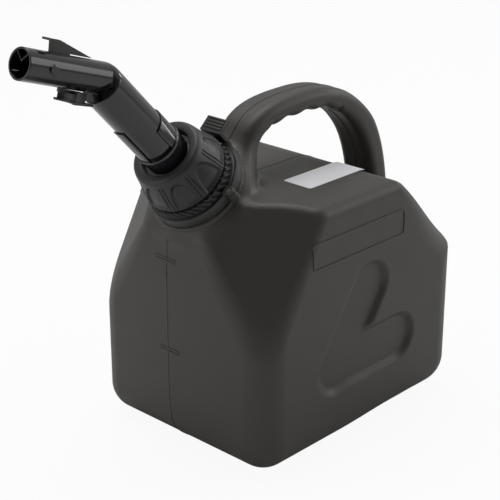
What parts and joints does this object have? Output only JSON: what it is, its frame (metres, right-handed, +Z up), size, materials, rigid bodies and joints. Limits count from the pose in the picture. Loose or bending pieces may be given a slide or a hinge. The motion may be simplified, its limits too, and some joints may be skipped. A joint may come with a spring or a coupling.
{
  "type": "fuel can",
  "caption": "Portable fuel can with a cranked handle, bevelled moulded tank, tilted filler neck, screw collar and bent self-closing pouring spout.",
  "frame": {"origin": "centre of the tank's standing panel, on the floor", "axes": "+Z up, -X towards the neck and spout, +X towards the rear, Y across the tank; the picture shows the -X front and the -Y side"},
  "size_m": [0.3448, 0.1712, 0.3187],
  "materials": {
    "tank_plastic": "dark olive-grey polyethylene with a satin grain",
    "label_paper": "plain white label film",
    "trim_plastic": "grey-green matt plastic",
    "gloss_black": "glossy black plastic",
    "collar_plastic": "satin black plastic",
    "seal_rubber": "black nitrile",
    "spring_steel": "bright steel"
  },
  "bodies": {
    "can": {"tank": "tank_plastic", "deck_label": "label_paper", "lock_ring": "trim_plastic", "lever_pin": "spring_steel"},
    "lever": {"lock_lever": "trim_plastic"},
    "seal_stack": {"neck_gasket": "seal_rubber"},
    "collar": {"screw_collar": "collar_plastic"},
    "spout_body": {"spout_base": "gloss_black", "base_o_ring": "seal_rubber", "spout": "gloss_black", "stop_pin": "gloss_black", "valve_seat": "trim_plastic", "return_spring": "spring_steel", "seat_o_ring": "seal_rubber"},
    "slider_body": {"slider": "trim_plastic", "valve_rod": "spring_steel", "valve_disc": "trim_plastic", "valve_seal": "seal_rubber", "spring_retainer": "trim_plastic", "rod_clip": "spring_steel"}
  },
  "joints": [
    {"name": "lever_hinge", "type": "hinge", "parent": "can", "child": "lever", "pos_m": [-0.09101, -0.0371, 0.19756], "axis": [-0.682, 0, 0.7314], "range_deg": [-6, 0], "stiffness_Nm_per_rad": 0.35, "springref_deg": 2.86},
    {"name": "collar_lift", "type": "slide", "parent": "can", "child": "seal_stack", "axis": [-0.682, 0, 0.7314], "range_m": [0, 0.012]},
    {"name": "collar_spin", "type": "hinge", "parent": "seal_stack", "child": "collar", "pos_m": [-0.0876, 0, 0.1939], "axis": [-0.682, 0, 0.7314], "range_deg": [0, 1080]},
    {"name": "spout_swivel", "type": "hinge", "parent": "seal_stack", "child": "spout_body", "pos_m": [-0.0876, 0, 0.1939], "axis": [-0.682, 0, 0.7314], "continuous": true},
    {"name": "slider_slide", "type": "slide", "parent": "spout_body", "child": "slider_body", "axis": [-0.9483, 0, 0.3173], "range_m": [0, 0.0085], "stiffness_N_per_m": 300, "springref_m": -0.008, "deforming": ["return_spring"]}
  ],
  "couplings": [
    {"joint": "collar_spin", "follows": "collar_lift", "rad_per_m": 1570.8}
  ]
}
